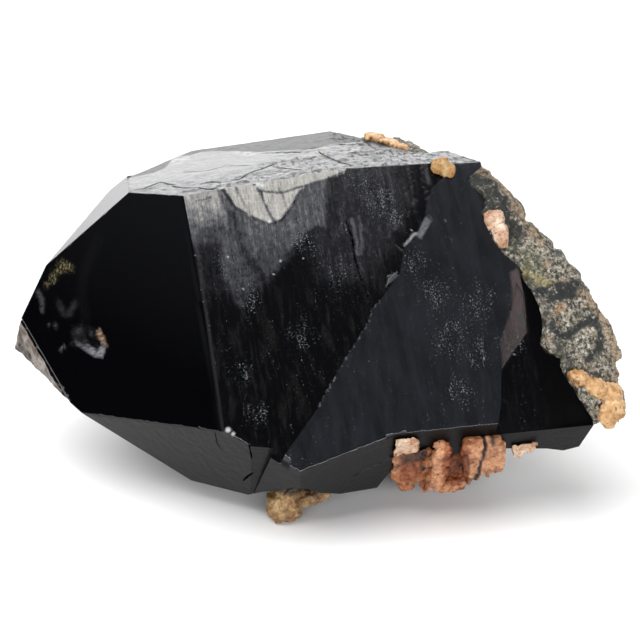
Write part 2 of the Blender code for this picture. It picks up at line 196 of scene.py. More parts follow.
class Net:
    """A material's node tree, with short calls for the nodes that it uses."""

    def __init__(self, name):
        self.material = bpy.data.materials.new(name)
        self.material.use_nodes = True
        self.tree = self.material.node_tree
        self.shader = self.tree.nodes["Principled BSDF"]
        self.coords = self.tree.nodes.new("ShaderNodeTexCoord").outputs["Object"]

    def put(self, socket, value):
        """Links a socket to another one, or sets it to a number or a colour."""
        if isinstance(value, bpy.types.NodeSocket):
            self.tree.links.new(value, socket)
        elif value is not None:
            if hasattr(socket.default_value, "__len__"):
                value = tuple(value) if hasattr(value, "__len__") else (value,) * 3
                if len(socket.default_value) == 4:
                    value = (*value[:3], 1.0)
            socket.default_value = value

    def math(self, operation, a, b=None, c=None):
        node = self.tree.nodes.new("ShaderNodeMath")
        node.operation = operation
        for socket, value in zip(node.inputs, (a, b, c)):
            self.put(socket, value)
        return node.outputs[0]

    def times(self, a, b):
        return self.math("MULTIPLY", a, b)

    def scaled(self, a, b, add):
        """a times b, plus add."""
        return self.math("MULTIPLY_ADD", a, b, add)

    def dot(self, direction):
        node = self.tree.nodes.new("ShaderNodeVectorMath")
        node.operation = "DOT_PRODUCT"
        self.put(node.inputs[0], self.coords)
        self.put(node.inputs[1], tuple(direction))
        return node.outputs["Value"]

    def noise(self, scale, detail=3.0, rough=0.5, at=None, distortion=0.0):
        node = self.tree.nodes.new("ShaderNodeTexNoise")
        self.put(node.inputs["Vector"], at or self.coords)
        self.put(node.inputs["Scale"], scale)
        self.put(node.inputs["Detail"], detail)
        self.put(node.inputs["Roughness"], rough)
        self.put(node.inputs["Distortion"], distortion)
        return node.outputs["Fac"]

    def ramp(self, value, *stops):
        """(position, value) or (position, colour) stops, with straight lines between them."""
        node = self.tree.nodes.new("ShaderNodeValToRGB")
        self.put(node.inputs["Fac"], value)
        elements = node.color_ramp.elements
        while len(elements) < len(stops):
            elements.new(0.5)
        for element, (position, colour) in zip(elements, stops):
            element.position = position
            element.color = (*colour, 1.0) if hasattr(colour, "__len__") else (colour, colour, colour, 1.0)
        return node.outputs["Color"]

    def mix(self, factor, a, b):
        node = self.tree.nodes.new("ShaderNodeMix")
        node.data_type = "RGBA"
        self.put(node.inputs["Factor"], factor)
        self.put(node.inputs[6], a)
        self.put(node.inputs[7], b)
        return node.outputs[2]

    def mask(self, name):
        """A mask that was worked out for each point of the mesh."""
        node = self.tree.nodes.new("ShaderNodeAttribute")
        node.attribute_name = name
        return node.outputs["Fac"]

    def stretched(self, plane, right, up, out=0.0):
        """Coordinates along a plane's directions with their own scales, in units per millimetre."""
        node = self.tree.nodes.new("ShaderNodeCombineXYZ")
        directions = (plane.right, plane.up, plane.out)
        for socket, direction, scale in zip(node.inputs, directions, (right, up, out)):
            self.put(socket, self.times(self.dot(direction), scale / MM))
        return node.outputs[0]

    def bump(self, height, distance, strength=1.0, normal=None):
        node = self.tree.nodes.new("ShaderNodeBump")
        self.put(node.inputs["Height"], height)
        self.put(node.inputs["Distance"], distance)
        self.put(node.inputs["Strength"], strength)
        self.put(node.inputs["Normal"], normal)
        return node.outputs[0]

    def finish(self, color, roughness, normal=None, ior=1.5):
        self.put(self.shader.inputs["Base Color"], color)
        self.put(self.shader.inputs["Roughness"], roughness)
        self.put(self.shader.inputs["Normal"], normal)
        self.put(self.shader.inputs["IOR"], ior)
        return self.material


NO_LIGHT = (0.0, 0.0, 0.0)
BLACK = (0.0006, 0.0006, 0.0009)
GREY_DUST = (0.10, 0.11, 0.11)
FRONT_DUST = (0.14, 0.15, 0.155)
PALE_GLINT = (0.45, 0.45, 0.46)
FRONT_GLINT = (0.50, 0.50, 0.52)
TOP_GLINT = (0.22, 0.215, 0.20)
TOP_RUST = (0.26, 0.18, 0.10)
QUARTZ_IOR = 1.544
CLEAN = -0.35


def dust_on(net, color, spread, tint):
    """Fine pale specks, which gather in drifts where the spread mask is high."""
    drift = net.noise(1.0, 5.0, 0.75, net.stretched(PRISM_FRONT, 1.0, 0.24, 0.5))
    drift = net.scaled(spread, 0.24, drift)
    specks = net.noise(5000.0, 2.0, 0.7)
    lots = net.scaled(drift, 0.45, net.times(specks, 0.75))
    return net.mix(net.ramp(lots, (0.775, 0.0), (0.85, 1.0)), color, tint)


def quartz(name, dull, shine=0.5, grain=0.0):
    """Plain morion: black glass with faint growth lines. Grain is the strength of a fine roughness."""
    net = Net(name)
    lines = net.noise(1.0, 4.0, 0.6, net.stretched(PRISM_FRONT, 1.6, 0.05, 0.05))
    waves = net.noise(120.0, 2.0)
    color = dust_on(net, BLACK, CLEAN, GREY_DUST)
    veil = net.noise(1.0, 4.0, 0.7, net.stretched(TIP_FRONT, 1.2, 4.0, 1.0))
    pale = net.ramp(veil, (0.32, (0.015, 0.015, 0.016)), (0.62, (0.22, 0.22, 0.24)))
    color = net.mix(net.mask("pale"), color, pale)
    rust = net.ramp(veil, (0.35, (0.07, 0.04, 0.02)), (0.60, (0.34, 0.25, 0.17)))
    color = net.mix(net.mask("rust"), color, rust)
    moss = net.ramp(
        net.noise(2100.0, 4.0, 0.7),
        (0.40, BLACK), (0.52, (0.075, 0.070, 0.035)), (0.62, (0.30, 0.22, 0.12)),
    )
    color = net.mix(net.mask("moss"), color, moss)
    color = net.mix(net.mask("glint"), color, PALE_GLINT)
    color = net.mix(net.mask("crack"), color, NO_LIGHT)
    bump = net.bump(lines, 0.00003, 0.10)
    bump = net.bump(waves, 0.0006, 0.03, bump)
    bump = net.bump(net.noise(700.0, 5.0, 0.7), 0.0005, grain, bump)
    net.shader.inputs["Specular IOR Level"].default_value = shine
    return net.finish(color, net.scaled(waves, 0.03, dull), bump, QUARTZ_IOR)


def front_quartz():
    """The front prism face: pale inner veils with painted reflection at the upper left, streaks, dust,
    painted highlights and a brown window.
    """
    net = Net("morion_front")
    streaks = net.noise(1.0, 5.0, 0.65, net.stretched(PRISM_FRONT, 1.9, 0.22))
    fine = net.noise(1.0, 4.0, 0.7, net.stretched(PRISM_FRONT, 6.0, 0.9, 3.0))
    broad = net.noise(1.0, 4.0, 0.65, net.stretched(PRISM_FRONT, 0.55, 0.13))
    crumbs = net.noise(1500.0, 5.0, 0.8)

    # The paleness of the inner veils and the painted reflection, broken up by streaks, fine lines and
    # crumbs.
    level = net.mask("veils_and_reflection")
    for noise, amount in ((streaks, 0.50), (fine, 0.45), (crumbs, 0.55)):
        level = net.scaled(net.math("SUBTRACT", noise, 0.5), amount, level)
    color = net.ramp(
        level,
        (0.10, BLACK), (0.30, (0.010, 0.010, 0.012)), (0.50, (0.040, 0.041, 0.046)),
        (0.66, (0.115, 0.115, 0.118)), (0.82, (0.260, 0.252, 0.232)), (1.0, (0.400, 0.385, 0.355)),
    )

    streaky = net.mask("streaky")
    scratch = net.times(net.ramp(streaks, (0.56, 0.0), (0.74, 0.55)), streaky)
    color = net.mix(scratch, color, (0.016, 0.014, 0.012))
    patches = net.times(net.ramp(broad, (0.52, 0.0), (0.62, 0.8)), streaky)
    patches = net.times(patches, net.ramp(fine, (0.40, 0.2), (0.62, 1.0)))
    color = net.mix(patches, color, (0.011, 0.010, 0.009))

    mottle = net.ramp(broad, (0.35, 0.25), (0.65, 1.0))
    base = net.mix(mottle, (0.004, 0.0045, 0.0055), (0.0125, 0.0135, 0.0165))
    color = net.mix(net.mask("block"), color, base)
    window = net.ramp(fine, (0.3, (0.040, 0.029, 0.030)), (0.7, (0.075, 0.058, 0.058)))
    color = net.mix(net.mask("brown"), color, window)
    color = dust_on(net, color, net.mask("dust"), FRONT_DUST)
    glint = net.times(net.mask("glint"), net.ramp(crumbs, (0.35, 0.5), (0.55, 1.0)))
    color = net.mix(glint, color, FRONT_GLINT)
    color = net.mix(net.mask("crack"), color, NO_LIGHT)

    bump = net.bump(net.math("ADD", fine, streaks), 0.00003, 0.2)
    bump = net.bump(crumbs, 0.00004, 0.15, bump)
    rough = net.scaled(net.mask("veils_and_reflection"), 0.15, net.scaled(streaks, 0.08, 0.05))
    return net.finish(color, rough, bump, QUARTZ_IOR)


def top_quartz():
    """The top prism face: etched and cracked, with a satin sheen and pale painted highlights broken into
    crumbs.
    """
    net = Net("morion_top")
    rugged = net.noise(1.0, 6.0, 0.72, net.stretched(PRISM_TOP, 0.45, 0.30), 0.8)
    fine = net.noise(2600.0, 4.0, 0.75)
    flakes = net.noise(1.0, 5.0, 0.7, net.stretched(PRISM_TOP, 1.5, 0.8, 1.0), 0.5)

    color = net.mix(net.ramp(fine, (0.38, 0.0), (0.62, 1.0)), (0.026, 0.027, 0.030), (0.150, 0.153, 0.160))
    even = net.times(net.ramp(rugged, (0.50, 0.0), (0.60, 0.5)), net.mask("even"))
    color = net.mix(even, color, (0.13, 0.13, 0.125))
    smooth = net.ramp(flakes, (0.38, (0.004, 0.005, 0.006)), (0.65, (0.035, 0.037, 0.040)))
    color = net.mix(net.mask("smooth"), color, smooth)
    vein = net.ramp(net.math("ABSOLUTE", net.math("SUBTRACT", rugged, 0.5)), (0.0, 1.0), (0.012, 0.0))
    color = net.mix(net.times(vein, net.mask("busy")), color, (0.003, 0.003, 0.003))
    mottled = net.times(net.ramp(flakes, (0.50, 0.0), (0.60, 0.95)), net.mask("busy"))
    color = net.mix(mottled, color, (0.012, 0.015, 0.011))
    glint = net.times(net.mask("glint"), net.ramp(fine, (0.35, 0.3), (0.5, 1.0)))
    color = net.mix(glint, color, TOP_GLINT)
    color = net.mix(net.mask("rust"), color, TOP_RUST)
    color = net.mix(net.mask("crack"), color, NO_LIGHT)

    bump = net.bump(rugged, 0.0008, 0.15)
    bump = net.bump(fine, 0.00012, 0.45, bump)
    rough = net.scaled(fine, 0.20, net.scaled(net.mask("smooth"), 0.16, 0.21))
    rough = net.scaled(mottled, 0.35, rough)
    return net.finish(color, rough, bump, QUARTZ_IOR)


def broken_quartz():
    """Chips at the tip: frosted and brownish where light gets in."""
    net = Net("morion_chip")
    fine = net.noise(1500.0, 4.0, 0.65)
    color = net.ramp(
        net.noise(300.0, 5.0, 0.7, distortion=0.8),
        (0.34, (0.010, 0.008, 0.006)), (0.45, (0.075, 0.052, 0.040)),
        (0.54, (0.17, 0.135, 0.11)), (0.66, (0.26, 0.24, 0.225)),
    )
    return net.finish(color, 0.3, net.bump(fine, 0.0004, 0.3), QUARTZ_IOR)


def granite():
    """Speckled granite with tan, green, yellow, dark and orange patches."""
    net = Net("granite")
    fine = net.noise(3600.0, 3.0, 0.65)
    grain = net.noise(1500.0, 4.0, 0.75)
    color = net.ramp(
        grain,
        (0.40, (0.012, 0.014, 0.012)), (0.45, (0.055, 0.055, 0.045)), (0.50, (0.18, 0.160, 0.12)),
        (0.55, (0.29, 0.265, 0.215)), (0.62, (0.52, 0.475, 0.40)),
    )
    tan_patches = net.ramp(net.noise(620.0, 4.0, 0.7, distortion=0.3), (0.54, 0.0), (0.64, 0.65))
    tan_zone = net.times(net.mask("tan"), net.ramp(grain, (0.40, 0.1), (0.52, 0.9)))
    tan_color = net.ramp(fine, (0.35, (0.24, 0.15, 0.08)), (0.6, (0.42, 0.30, 0.18)))
    color = net.mix(net.math("MAXIMUM", tan_patches, tan_zone), color, tan_color)
    green = net.times(net.mask("green"), net.ramp(net.noise(800.0, 4.0, 0.75), (0.42, 0.0), (0.56, 0.8)))
    color = net.mix(green, color, (0.075, 0.082, 0.036))
    yellow = net.times(net.mask("yellow"), net.ramp(fine, (0.35, 0.1), (0.55, 0.8)))
    color = net.mix(yellow, color, (0.27, 0.23, 0.075))
    patches = net.ramp(net.noise(480.0, 5.0, 0.75, distortion=0.6), (0.56, 0.0), (0.62, 0.7))
    cover = net.ramp(net.noise(1000.0, 4.0, 0.8), (0.37, 0.0), (0.47, 1.0))
    dark = net.math("MAXIMUM", patches, net.times(net.mask("dark"), cover))
    color = net.mix(dark, color, net.mix(grain, (0.004, 0.005, 0.005), (0.020, 0.024, 0.024)))
    color = net.mix(net.ramp(fine, (0.34, 0.9), (0.42, 0.0)), color, (0.012, 0.013, 0.012))
    color = net.mix(net.mask("orange"), color, (0.40, 0.20, 0.08))
    bump = net.bump(grain, 0.0006, 0.6)
    bump = net.bump(fine, 0.0002, 0.6, bump)
    return net.finish(color, 0.7, bump)


def feldspar(name, dark, mid, light):
    """Dull feldspar from dark to light, with masks for its reddish hollows, darkened there as painted shade,
    and for painted shade in its cavities and gaps.
    """
    net = Net(name)
    grain = net.noise(1100.0, 5.0, 0.7)
    broad = net.noise(330.0, 3.0, 0.6, distortion=0.4)
    value = net.math("ADD", net.times(grain, 0.55), net.times(broad, 0.45))
    color = net.ramp(value, (0.38, dark), (0.48, mid), (0.60, light))
    # Reddish colour in the hollows, darkened there as painted shade.
    reddish_and_shade = net.ramp(value, (0.38, (0.05, 0.010, 0.003)), (0.56, (0.30, 0.080, 0.022)))
    color = net.mix(net.mask("reddish_and_shade"), color, reddish_and_shade)
    blades = net.ramp(value, (0.38, (0.22, 0.08, 0.03)), (0.56, (0.60, 0.31, 0.165)))
    color = net.mix(net.mask("pink"), color, blades)
    # Small dark flecks: painted shade in tiny dimples.
    pit_shade = net.ramp(net.noise(1900.0, 3.0, 0.6), (0.33, 0.85), (0.39, 0.0))
    color = net.mix(pit_shade, color, (0.03, 0.020, 0.008))
    # Painted shade: near black in cavities and gaps, and where the knob meets the crystal.
    color = net.mix(net.mask("hole_shade"), color, (0.006, 0.003, 0.002))
    net.shader.inputs["Subsurface Weight"].default_value = 0.15
    net.shader.inputs["Subsurface Radius"].default_value = (0.0012, 0.0006, 0.0003)
    return net.finish(color, 0.5, net.bump(grain, 0.0005, 0.6))


# Meshes.


def piece_of(node, name):
    """A copy of a CAD node that stands for it."""
    made = bpy.data.objects.new(name, NODES[node].data.copy())
    bpy.context.scene.collection.objects.link(made)
    made.data.materials.clear()
    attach(made, "root")
    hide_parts(node)
    return made


def apply_modifiers(obj):
    graph = bpy.context.evaluated_depsgraph_get()
    made = bpy.data.meshes.new_from_object(obj.evaluated_get(graph))
    obj.modifiers.clear()
    obj.data = made


def positions(mesh):
    co = np.empty(len(mesh.vertices) * 3, np.float32)
    mesh.vertices.foreach_get("co", co)
    return co.reshape(-1, 3).astype(float)


def place(mesh, co, lowest, highest):
    """Moves the mesh's points, held inside a box."""
    co = np.clip(co, np.array(lowest), np.array(highest))
    mesh.vertices.foreach_set("co", co.astype(np.float32).ravel())
    mesh.update()


def store(mesh, name, values):
    """Keeps a mask, one value for each point."""
    layer = mesh.attributes.new(name, "FLOAT", "POINT")
    layer.data.foreach_set("value", np.clip(values, 0.0, 1.0).astype(np.float32))


def segment_distance(points, a, b):
    """Distance of each point from the segment a-b, in millimetres."""
    along = b - a
    t = np.clip((points - a) @ along / max(along @ along, 1e-18), 0.0, 1.0)
    return np.linalg.norm(points - a - t[:, None] * along, axis=1) / MM


def sharp_edges(bm, least):
    """Convex edges between the main faces of the crystal: both ends and the direction that they face."""
    found = []
    for edge in bm.edges:
        if len(edge.link_faces) != 2 or not edge.is_convex:
            continue
        normals = [face.normal for face in edge.link_faces]
        if normals[0].angle(normals[1], 0.0) <= math.radians(least):
            continue
        if all(max(normal.dot(plane.out) for plane in MAIN_FACES) > SAME_DIRECTION for normal in normals):
            ends = [np.array(vert.co) for vert in edge.verts]
            found.append((*ends, np.array((normals[0] + normals[1]).normalized())))
    return found


# Cracks in the crystal: plane, points (right, up) on it, width and depth in mm.
CRACKS = [
    (PRISM_FRONT, [(5.4, 12.0), (5.8, 9.0), (5.7, 6.3), (5.9, 3.8), (6.6, 0.2), (6.7, -2.1)], 0.26, 0.5),
    (PRISM_FRONT, [(11.9, 6.8), (12.5, 6.0), (12.9, 5.6)], 0.2, 0.4),
    (PRISM_FRONT, [(9.4, 1.0), (9.9, 2.2), (11.4, 2.9)], 0.15, 0.3),
    (TIP_LOWER_FRONT, [(-3.8, 0.8), (-3.7, -0.8), (-3.6, -1.9), (-2.9, -3.1)], 0.16, 0.4),
    (TIP_LOWER_FRONT, [(1.6, 2.4), (1.8, -0.4), (2.0, -2.6)], 0.25, 0.5),
    (TIP_LOWER_FRONT, [(2.6, -5.0), (1.2, -6.9), (0.2, -8.8)], 0.3, 0.5),
    (LEFT_BREAK, [(-5.2, -6.5), (-2.6, -5.5), (0.9, -4.6), (2.5, -4.3)], 0.25, 0.5),
    (PRISM_TOP, [(-18.2, 6.8), (-17.1, 4.9), (-15.0, 3.5), (-13.5, 1.9), (-11.9, 0.8)], 0.45, 0.5),
    (
        PRISM_TOP,
        [(-23.7, 8.1), (-22.4, 7.8), (-21.4, 8.3), (-20.3, 9.2), (-19.8, 9.6), (-18.6, 7.9), (-17.7, 7.0)],
        0.3, 0.4,
    ),
    (
        PRISM_TOP,
        [(-14.0, 5.0), (-12.4, 4.9), (-10.3, 3.6), (-8.2, 4.1), (-6.5, 6.4), (-4.5, 7.4), (-2.3, 9.0)],
        0.28, 0.35,
    ),
    (PRISM_TOP, [(-2.6, 6.6), (-0.9, 4.9), (0.7, 3.2)], 0.3, 0.35),
    (PRISM_TOP, [(-24.3, 15.2), (-22.9, 15.6), (-20.8, 16.2)], 0.5, 0.5),
    (PRISM_TOP, [(4.8, 12.1), (5.2, 9.4), (5.8, 6.9), (7.4, 2.7), (8.0, 0.2)], 0.3, 0.35),
    (PRISM_TOP, [(7.7, 13.9), (9.9, 12.6), (11.4, 12.4)], 0.45, 0.4),
    (PRISM_TOP, [(-3.4, 16.1), (-0.8, 14.8), (2.2, 13.3)], 0.3, 0.3),
    (PRISM_TOP, [(-16.0, 13.0), (-12.6, 11.4), (-9.4, 12.2), (-6.0, 10.0)], 0.16, 0.2),
]
# On the top face, the edge of the smoother strip at the back, and all that lies ahead of it.
REAR_LINE = [
    (-24.4, 15.0), (-20.6, 15.6), (-18.5, 17.2), (-17.1, 21.3), (-15.7, 22.9), (-14.1, 22.4), (-12.4, 23.2),
    (-10.1, 22.2), (-7.2, 20.1), (-4.2, 17.6), (2.2, 14.6), (8.0, 14.2), (12.0, 13.6),
]
AHEAD_OF_REAR = [(-60.0, -60.0), (-60.0, 14.0)] + REAR_LINE + [(60.0, 12.0), (60.0, -60.0)]


def crack_distance(co, plane, points):
    """Distance of each point from a crack's line, and the line's two ends."""
    ends = [np.array(plane.at(right, up)) for right, up in points]
    best = np.full(len(co), FAR)
    for a, b in zip(ends, ends[1:]):
        best = np.minimum(best, segment_distance(co, a, b))
    return best, ends[0], ends[-1]


def on_top_face(points):
    """Which points are on the top face or its right part."""
    left = PRISM_TOP.local(points)[2]
    right = TOP_RIGHT.local(points)[2]
    near = 0.02
    return (np.minimum(np.abs(left), np.abs(right)) < near) & (np.maximum(left, right) < near)


def edge_length(mids, sharp):
    """The longest edge allowed at each place, in metres."""
    limit = np.full(len(mids), 2.5)
    right, _, out = PRISM_FRONT.local(mids)
    limit[(np.abs(out) < 1.3) & (right > -19.0)] = 0.42
    limit[on_top_face(mids)] = 0.45
    for plane, size in ((TIP_FRONT, 0.8), (TIP_CHIP, 0.3)):
        limit[np.abs(plane.local(mids)[2]) < 0.3] = size
    edge = np.full(len(mids), FAR)
    for a, b, _ in sharp:
        edge = np.minimum(edge, segment_distance(mids, a, b))
    limit = np.minimum(limit, 0.14 + np.maximum(edge - 0.25, 0.0) * 1.2)
    crack = np.full(len(mids), FAR)
    for plane, points, _, _ in CRACKS:
        crack = np.minimum(crack, crack_distance(mids, plane, points)[0])
    limit = np.minimum(limit, 0.10 + np.maximum(crack - 0.3, 0.0))
    return limit * MM


def refine(bm, sharp):
    """Halves edges until each is short enough for its place."""
    most_rounds = 9
    bmesh.ops.triangulate(bm, faces=bm.faces)
    for _ in range(most_rounds):
        edges = list(bm.edges)
        ends = np.array([[vert.co[:] for vert in edge.verts] for edge in edges])
        length = np.linalg.norm(ends[:, 0] - ends[:, 1], axis=1)
        too_long = length > edge_length(ends.mean(axis=1), sharp)
        if not too_long.any():
            return
        chosen = [edge for edge, split in zip(edges, too_long) if split]
        bmesh.ops.subdivide_edges(bm, edges=chosen, cuts=1)
        bmesh.ops.triangulate(bm, faces=[face for face in bm.faces if len(face.verts) > 3])


# Places of the crystal's materials in its list of slots.
PLAIN, FRONT_FACE, TOP_FACE, CHIP, LEFT_BREAKS, LEDGE, TIP_UPPER_FACE = range(7)


def zone_of(normal, middle):
    """The material slot of one flat face of the crystal."""
    out = PRISM_FRONT.local(np.array([middle]))[2][0]
    if normal.dot(PRISM_FRONT.out) > 0.90 and abs(out) < 2.2:
        return FRONT_FACE
    if max(normal.dot(PRISM_TOP.out), normal.dot(TOP_RIGHT.out)) > SAME_DIRECTION:
        return TOP_FACE
    if normal.dot(TIP_TOP.out) > SAME_DIRECTION:
        return TIP_UPPER_FACE
    if normal.dot(TIP_CHIP.out) > 0.97:
        return CHIP
    if normal.dot(MIDDLE_BREAK.out) > 0.999:
        return LEDGE
    if normal.dot(LEFT_BREAK.out) > 0.93 or normal.z < -0.3:
        return LEFT_BREAKS
    return PLAIN


def shape_front(start):
    """Fine ribs up the front face, weaker on the block: how far each point moves out, in mm."""
    right, up, out = PRISM_FRONT.local(start)
    on_front = (np.abs(out - 0.4) < 1.9) & (right > -17.5) & (up > -26.0)
    ribs = lumps(np.stack([right, up * 0.06, out * 0.0], axis=1), 1.1, 3)
    ribs = ribs + 0.6 * lumps(np.stack([right, up * 0.1, out * 0.0], axis=1), 0.45, 4)
    block = step(out, 0.3, 0.6)
    depth = (ribs - 1.0) * 0.030 * (1.0 - 0.75 * block)
    return np.where(on_front, depth, 0.0)


def shape_top(start, mm):
    """Etched waves and flakes on the top face, and the lower strip behind them, in mm."""
    right, up = PRISM_TOP.local(start)[:2]
    rear = line_distance(right, up, REAR_LINE) * ~inside(right, up, AHEAD_OF_REAR)
    busy = np.maximum(step(up, 11.0, 3.0), step(right, -6.0, 4.0)) * (1.0 - step(rear, 0.0, 0.5))
    wave = lumps(mm, 2.4, 5) + 0.6 * lumps(mm, 1.0, 6)
    flake = np.round((lumps(mm, 3.4, 7) + 0.4 * lumps(mm, 1.2, 8)) * 3.0) / 3.0
    depth = (np.minimum(wave, 0.6) - 0.6) * (0.04 + 0.07 * busy)
    depth = depth + (np.minimum(flake, 0.66) - 0.66) * 0.16 * busy
    strip_drop = 0.25
    depth -= step(rear, 0.0, 0.4) * strip_drop
    return np.where(on_top_face(start), depth, 0.0)


def shape_chip(start, mm):
    """The uneven break at the tip, in mm."""
    out = TIP_CHIP.local(start)[2]
    depth = (lumps(mm, 1.6, 9) + 0.5 * lumps(mm, 0.7, 10) - 1.1) * 0.22
    return np.where(np.abs(out) < 0.2, depth, 0.0)


def shape_crystal(start):
    """Relief of the faces."""
    mm = (start - np.array(CENTRE)) / MM
    moves = (
        (PRISM_FRONT, shape_front(start)),
        (PRISM_TOP, shape_top(start, mm)),
        (TIP_CHIP, shape_chip(start, mm)),
    )
    co = start.copy()
    for plane, depth in moves:
        co += depth[:, None] * np.array(plane.out) * MM
    return co


def wear_edges(co, sharp):
    """Cuts a narrow uneven bevel along each sharp edge."""
    mm = co / MM
    chips = np.maximum(lumps(mm, 1.7, 11), 0.0) * 0.16 + np.maximum(lumps(mm, 0.6, 12) - 0.25, 0.0) * 0.3
    tip_edge = np.array((TIP_FRONT.out + PRISM_FRONT.out).normalized())
    least_width = 0.02
    reach = 1.4
    for a, b, facing in sharp:
        along_tip_edge = facing @ tip_edge > 0.995
        width = least_width + chips * (0.3 if along_tip_edge else 0.5)
        beyond = (co - a) @ facing / MM + width
        cut = (beyond > 0.0) & (segment_distance(co, a, b) < reach)
        co = co - np.where(cut, beyond, 0.0)[:, None] * facing * MM
    return co


def cut_cracks(co, start):
    """Presses grooves into the faces. Returns the points and how much each is in a crack."""
    crack = np.zeros(len(co))
    jitter = 1.0 + 0.5 * lumps(start / MM, 0.7, 13)
    taper_length = 1.2
    for plane, points, width, depth in CRACKS:
        distance, first, last = crack_distance(start, plane, points)
        from_first = np.linalg.norm(start - first, axis=1)
        from_last = np.linalg.norm(start - last, axis=1)
        taper = np.minimum(from_first, from_last) / MM
        half = width / 2 * jitter * (0.35 + 0.65 * step(taper, 0.0, taper_length))
        inner = 1.0 - step(distance, 0.3 * half, 1.3 * half)
        co = co - (inner * depth)[:, None] * np.array(plane.out) * MM
        crack = np.maximum(crack, inner)
    return co, crack


# Marks on the front face, on PRISM_FRONT.
ARCH = [
    (-11.7, 20.5), (-10.0, 16.0), (-8.6, 14.6), (-7.0, 13.7), (-5.5, 12.8), (-3.9, 13.2), (-1.9, 15.1),
    (-0.5, 17.0), (0.9, 17.6), (4.2, 18.2), (6.5, 18.6), (8.0, 21.5), (-11.0, 21.5),
]
ARCH_RIM = [
    (-11.7, 19.3), (-10.0, 16.0), (-7.0, 13.7), (-5.5, 12.8), (-3.9, 13.2), (-1.9, 15.1), (-0.5, 17.0),
]
GREY_VEIL = [
    (-12.0, 23.0), (6.0, 23.0), (4.3, 19.5), (3.2, 14.0), (2.8, 10.8), (-0.9, 10.4), (-2.6, 8.4),
    (-4.5, 6.6), (-8.2, 3.6), (-11.9, 1.0), (-14.0, 6.0),
]
MIDDLE_VEIL = [(-3.0, 20.5), (6.0, 21.0), (15.5, 20.5), (16.0, 14.0), (12.5, 7.0), (8.0, 2.0), (0.0, 3.0)]
# Dark lines in the veils: strength, sway to the right, sway up, width, soft, points.
VEIL_LINES = [
    (0.8, 0.2, 0.0, 0.08, 0.25, [(-6.8, 19.2), (-6.2, 17.8), (-5.9, 16.5), (-5.3, 14.2), (-4.9, 13.0)]),
    (0.4, 0.0, 0.0, 0.05, 0.2, [(-9.6, 19.2), (-8.9, 17.0), (-8.2, 15.0)]),
    (0.35, 0.0, 0.0, 0.05, 0.2, [(-3.4, 18.0), (-2.9, 16.2), (-2.8, 14.6)]),
    (0.8, 0.0, 0.1, 0.06, 0.2, [(-6.3, 17.9), (-3.0, 17.2), (-0.3, 17.6), (4.2, 18.3), (6.5, 18.9)]),
    (0.5, 0.3, 0.0, 0.12, 0.4, [(-12.2, 19.6), (-11.6, 17.0), (-11.0, 14.6), (-11.6, 12.0)]),
    (0.6, 0.9, 0.0, 0.2, 0.9, [(-10.6, 15.0), (-10.3, 10.4), (-9.2, 8.2), (-7.6, 4.6), (-6.8, 0.9)]),
    (0.5, 0.3, 0.4, 0.03, 0.15, [(-15.6, 18.0), (-14.2, 17.9), (-13.4, 18.2)]),
]
BROWN_LINE = [(-10.4, 17.3), (-10.2, 15.0), (-10.3, 10.4), (-9.0, 7.7), (-6.8, 0.9)]
# Drifts of dust: right, up, reach, strength.
DUST_DRIFTS = [
    (-11.4, 6.5, 4.2, 1.0), (-10.0, 2.2, 3.0, 0.95), (-13.0, 8.5, 2.5, 0.8), (-1.5, 10.0, 3.6, 0.85),
    (-2.6, 12.0, 2.5, 0.8), (3.0, 4.5, 4.0, 0.72), (10.5, 13.5, 4.4, 1.0), (8.0, 16.5, 3.4, 0.95),
    (12.6, 11.0, 2.5, 0.95), (16.5, -1.5, 5.0, 0.85), (14.0, 4.0, 3.5, 0.8), (17.5, -8.0, 4.6, 0.98),
    (17.0, -16.0, 3.8, 1.0), (20.5, -11.0, 3.5, 0.9), (4.8, 10.8, 1.6, 0.9), (22.0, -4.0, 4.6, 0.8),
    (-13.0, -8.0, 3.2, 0.75), (-12.0, -14.0, 3.0, 0.7), (26.0, -10.0, 3.0, 0.75), (-4.0, -4.0, 4.0, 0.7),
]
DUST_EVERYWHERE = 0.15
# Bright points: right, up, reach, strength.
FRONT_SPARKS = [
    (-6.3, 19.0, 0.55, 1.0), (-5.7, 18.7, 0.45, 1.0), (-6.7, 18.7, 0.35, 0.8), (-5.6, 13.3, 0.38, 0.9),
    (-5.0, 7.2, 0.2, 0.9), (-6.2, 5.4, 0.16, 0.9), (-1.6, 7.1, 0.16, 0.9), (19.6, 9.1, 0.16, 0.8),
    (-16.3, -15.8, 0.55, 1.0), (-15.7, -16.5, 0.4, 0.8), (26.0, -11.6, 0.16, 0.9), (23.6, -9.2, 0.14, 0.9),
    (14.6, 8.6, 0.2, 0.6), (-12.3, 9.0, 0.16, 0.8), (-10.9, 4.0, 0.16, 0.8),
]
# Bright lines, given as the dark ones are.
FRONT_GLEAMS = [
    (0.55, 0.3, 0.0, 0.1, 0.25, [(13.2, 6.6), (13.9, 7.2), (14.6, 7.9), (15.2, 8.0)]),
    (0.12, 0.5, 0.0, 0.06, 0.35, [(6.3, 11.6), (6.4, 9.0), (6.3, 6.4)]),
    (0.07, 0.6, 0.0, 0.05, 0.4, [(7.4, 11.8), (7.3, 9.0), (6.9, 6.4)]),
    (0.03, 0.0, 0.0, 0.12, 0.3, [(-16.9, 19.3), (-16.6, 10.0), (-16.8, -4.0), (-17.0, -16.0)]),
]
UPPER_GLEAM = [(18.2, 17.8), (18.3, 16.2), (18.4, 14.9)]
SLANTED_GLEAM = [(15.9, 13.0), (14.4, 11.4), (12.2, 9.3)]
